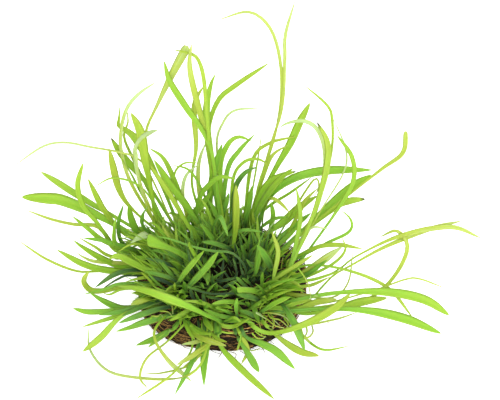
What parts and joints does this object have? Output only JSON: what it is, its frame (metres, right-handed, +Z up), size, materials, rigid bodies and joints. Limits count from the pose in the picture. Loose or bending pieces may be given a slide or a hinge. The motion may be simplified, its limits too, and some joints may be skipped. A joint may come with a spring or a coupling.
{
  "type": "aquarium grass plant",
  "caption": "Tuft of narrow grass-like aquarium leaves rooted in a round coir pad, resting on its flat underside.",
  "frame": {"origin": "centre of the coir pad's flat underside", "axes": "+Z up out of the pad; +Y towards the tall leaves at the back, -Y towards the short leaves at the front; +X to the right seen from the front"},
  "size_m": [0.1898, 0.1247, 0.1191],
  "materials": {
    "coir": "matte",
    "short_leaves": "satin",
    "leaf_lime": "satin",
    "leaf_mid": "satin",
    "leaf_pale": "satin"
  },
  "bodies": {
    "root": {"coir_pad": "coir", "short_leaf_mass": "short_leaves", "left_thread_leaf": "leaf_lime", "left_rising_leaf": "leaf_mid", "left_broad_leaf": "leaf_lime", "left_upright_leaf": "leaf_mid", "left_small_leaf": "leaf_mid", "left_bladed_leaf": "leaf_mid", "left_slender_leaf": "leaf_mid", "pale_crook_leaf": "leaf_pale", "kinked_leaf": "leaf_mid", "big_left_leaf": "leaf_lime", "hooked_leaf": "leaf_pale", "tall_folded_leaf": "leaf_pale", "tall_crook_leaf": "leaf_lime", "crossing_leaf": "leaf_mid", "straw_leaf": "leaf_pale", "upright_leaf": "leaf_mid", "narrow_upright_leaf": "leaf_lime", "long_arched_leaf": "leaf_lime", "thin_arched_leaf": "leaf_lime", "tallest_arched_leaf": "leaf_lime", "tallest_straight_leaf": "leaf_pale", "right_upper_leaf": "leaf_lime", "pale_right_crook_leaf": "leaf_pale", "right_bowed_leaf": "leaf_mid", "right_slim_bowed_leaf": "leaf_lime", "right_thread_leaf": "leaf_mid", "right_curved_leaf": "leaf_lime", "right_level_leaf": "leaf_lime", "right_upturned_leaf": "leaf_lime", "right_broad_leaf": "leaf_lime", "right_leaf": "leaf_mid", "right_far_leaf": "leaf_lime", "right_farther_leaf": "leaf_lime", "right_curled_leaf": "leaf_mid", "right_low_thread_leaf": "leaf_lime", "right_low_leaf": "leaf_mid", "right_long_leaf": "leaf_lime", "right_lower_leaf": "leaf_lime", "right_middle_leaf": "leaf_mid", "front_sweeping_leaf": "leaf_lime", "front_left_broad_leaf": "leaf_lime", "front_right_leaf": "leaf_mid", "front_right_lime_leaf": "leaf_lime", "front_short_leaf": "leaf_mid", "front_long_leaf": "leaf_lime", "front_pad_leaf": "leaf_mid", "front_middle_leaf": "leaf_mid", "front_left_leaf": "leaf_mid", "front_left_pale_leaf": "leaf_lime", "front_left_thin_leaf": "leaf_lime", "front_left_curl_leaf": "leaf_lime", "left_looping_leaf": "leaf_lime", "left_low_leaf": "leaf_mid", "left_level_leaf": "leaf_mid", "left_middle_leaf": "leaf_mid", "left_curled_leaf": "leaf_lime", "left_faint_leaf": "leaf_lime", "left_far_thin_leaf": "leaf_lime"}
  },
  "joints": []
}
